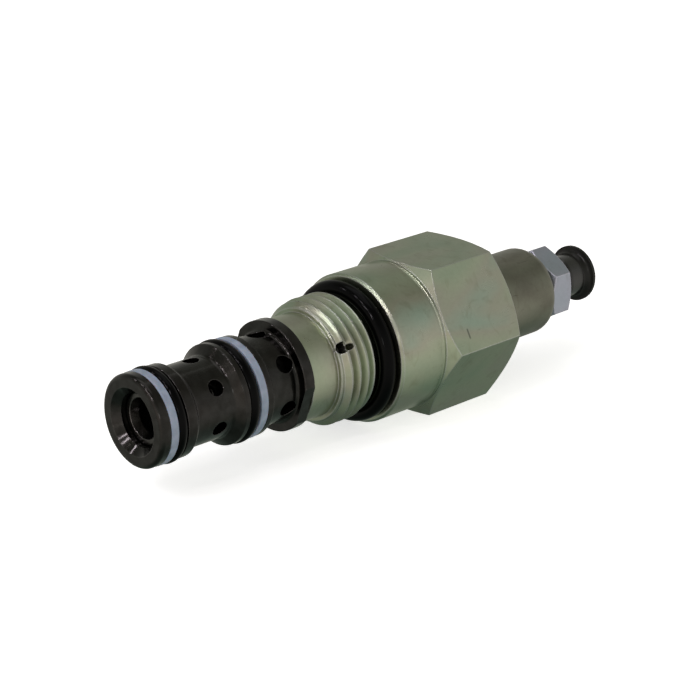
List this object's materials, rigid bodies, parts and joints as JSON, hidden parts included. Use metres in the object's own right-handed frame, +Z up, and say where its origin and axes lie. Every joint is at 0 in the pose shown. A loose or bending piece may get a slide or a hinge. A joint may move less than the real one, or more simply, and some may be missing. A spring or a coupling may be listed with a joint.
{
  "type": "hydraulic cartridge valve",
  "caption": "Screw-in three-port hydraulic cartridge valve: drilled cage with seals, threaded hexagon body, round stem and screw adjuster with lock nut and cap.",
  "frame": {"origin": "on the valve's axis at the seating shoulder, the front face of the round collar", "axes": "+X along the valve's axis from the nose towards the adjuster, +Z up, square to a flat of the hexagon"},
  "size_m": [0.1049, 0.0312, 0.027],
  "materials": {
    "black_oxide": "satin black-oxide steel",
    "zinc_plate": "olive-green iridescent passivated zinc plate",
    "zinc_plate_dark": "dull olive-grey passivated zinc plate",
    "hardened_steel": "ground steel",
    "spring_steel": "oiled spring steel",
    "brass_jet": "turned brass",
    "screw_steel": "zinc plated steel",
    "nut_zinc": "bright blue-white zinc plate",
    "seal_rubber": "smooth oiled black rubber",
    "ptfe": "pale blue-white PTFE",
    "black_plastic": "glossy black moulded plastic"
  },
  "bodies": {
    "valve_body": {"cage": "black_oxide", "adapter": "zinc_plate", "bonnet": "zinc_plate_dark", "nose_backup_ring": "ptfe", "nose_o_ring": "seal_rubber", "middle_o_ring": "seal_rubber", "middle_backup_ring": "ptfe", "shoulder_o_ring": "seal_rubber", "cage_o_ring": "seal_rubber", "bonnet_o_ring": "seal_rubber"},
    "spool": {"spool": "hardened_steel", "damping_orifice": "brass_jet", "spring_seat": "hardened_steel"},
    "spring_button": {"spring_button": "hardened_steel", "button_o_ring": "seal_rubber", "button_backup_ring": "ptfe", "main_spring": "spring_steel"},
    "adjusting_screw": {"adjusting_screw": "screw_steel", "screw_retaining_ring": "spring_steel"},
    "dust_cap": {"dust_cap": "black_plastic"},
    "nut_seal": {"nut_seal_ring": "seal_rubber"},
    "lock_nut": {"lock_nut": "nut_zinc"}
  },
  "joints": [
    {"name": "spool_stroke", "type": "slide", "parent": "valve_body", "child": "spool", "axis": [1, 0, 0], "range_m": [0, 0.0024], "stiffness_N_per_m": 400, "springref_m": -0.01, "deforming": ["main_spring"]},
    {"name": "adjuster_travel", "type": "slide", "parent": "valve_body", "child": "spring_button", "axis": [1, 0, 0], "range_m": [-0.00106, 0.00423]},
    {"name": "adjuster_turn", "type": "hinge", "parent": "spring_button", "child": "adjusting_screw", "pos_m": [0.045, 0, 0], "axis": [1, 0, 0], "range_deg": [-360, 1440]},
    {"name": "cap_pull", "type": "slide", "parent": "adjusting_screw", "child": "dust_cap", "axis": [1, 0, 0], "range_m": [0, 0.0065]},
    {"name": "nut_travel", "type": "slide", "parent": "valve_body", "child": "nut_seal", "axis": [1, 0, 0], "range_m": [0, 0.00106]},
    {"name": "nut_turn", "type": "hinge", "parent": "nut_seal", "child": "lock_nut", "pos_m": [0.048, 0, 0], "axis": [1, 0, 0], "range_deg": [0, 360]}
  ],
  "couplings": [
    {"joint": "adjuster_turn", "follows": "adjuster_travel", "rad_per_m": 5936.9},
    {"joint": "nut_turn", "follows": "nut_travel", "rad_per_m": 5936.9}
  ]
}
